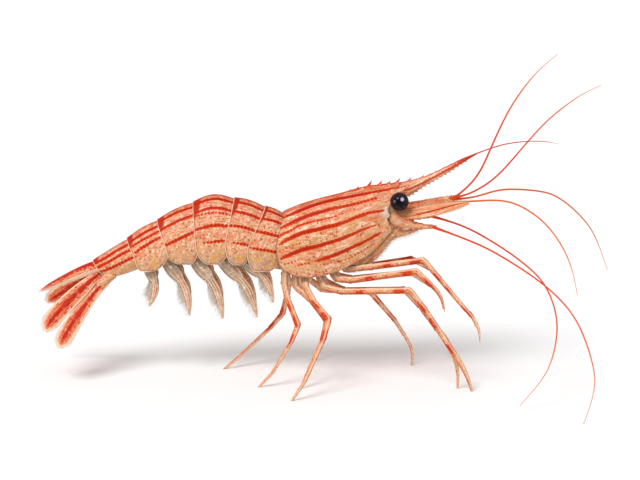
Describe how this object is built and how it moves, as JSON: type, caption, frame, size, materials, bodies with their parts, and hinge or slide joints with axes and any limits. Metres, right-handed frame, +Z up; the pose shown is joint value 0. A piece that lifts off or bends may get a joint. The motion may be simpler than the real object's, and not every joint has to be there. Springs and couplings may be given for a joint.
{
  "type": "shrimp",
  "caption": "Still, life-size model of a striped deep-water shrimp standing on its walking legs, with a long toothed rostrum, long feelers and a spread tail fan.",
  "frame": {"origin": "middle of the model's footprint, at the level of the toes", "axes": "+X forward, towards the rostrum and feelers; +Y to the animal's left; +Z up"},
  "size_m": [0.1636, 0.0724, 0.0933],
  "materials": {
    "shell": "smooth translucent shell, cream with lengthwise red stripes and dark red dots",
    "leg": "smooth thin shell, cream with red-orange bands",
    "feeler": "fine ringed whip, red-orange fading to tan",
    "flesh": "soft translucent membrane, tan-grey with fringes of hair",
    "eye": "wet black"
  },
  "bodies": {
    "root": {"carapace": "shell", "rostrum": "shell", "abdomen_1": "shell", "abdomen_2": "shell", "abdomen_3": "shell", "abdomen_4": "shell", "abdomen_5": "shell", "abdomen_6": "shell", "telson": "shell", "uropod_inner_right": "shell", "uropod_inner_left": "shell", "uropod_outer_right": "shell", "uropod_outer_left": "shell", "eyestalk_right": "leg", "eyestalk_left": "leg", "antennule_base_right": "leg", "antennule_base_left": "leg", "antenna_base_right": "leg", "antenna_base_left": "leg", "antenna_scale_right": "leg", "antenna_scale_left": "leg", "maxilliped_right": "leg", "maxilliped_left": "leg", "pereiopod_1_right": "leg", "pereiopod_1_left": "leg", "pereiopod_2_right": "leg", "pereiopod_2_left": "leg", "pereiopod_3_right": "leg", "pereiopod_3_left": "leg", "pereiopod_4_right": "leg", "pereiopod_4_left": "leg", "pereiopod_5_right": "leg", "pereiopod_5_left": "leg", "antennule_upper_right_inner_length": "feeler", "antennule_upper_right_outer_length": "feeler", "antennule_upper_left_inner_length": "feeler", "antennule_upper_left_outer_length": "feeler", "antennule_lower_right_inner_length": "feeler", "antennule_lower_right_outer_length": "feeler", "antennule_lower_left_inner_length": "feeler", "antennule_lower_left_outer_length": "feeler", "antenna_right_inner_length": "feeler", "antenna_right_outer_length": "feeler", "antenna_left_inner_length": "feeler", "antenna_left_outer_length": "feeler", "thorax_underside": "flesh", "head_front": "flesh", "mouthparts": "flesh", "pleopod_1_right": "flesh", "pleopod_1_left": "flesh", "pleopod_2_right": "flesh", "pleopod_2_left": "flesh", "pleopod_3_right": "flesh", "pleopod_3_left": "flesh", "pleopod_4_right": "flesh", "pleopod_4_left": "flesh", "pleopod_5_right": "flesh", "pleopod_5_left": "flesh", "eye_right": "eye", "eye_left": "eye"}
  },
  "joints": []
}
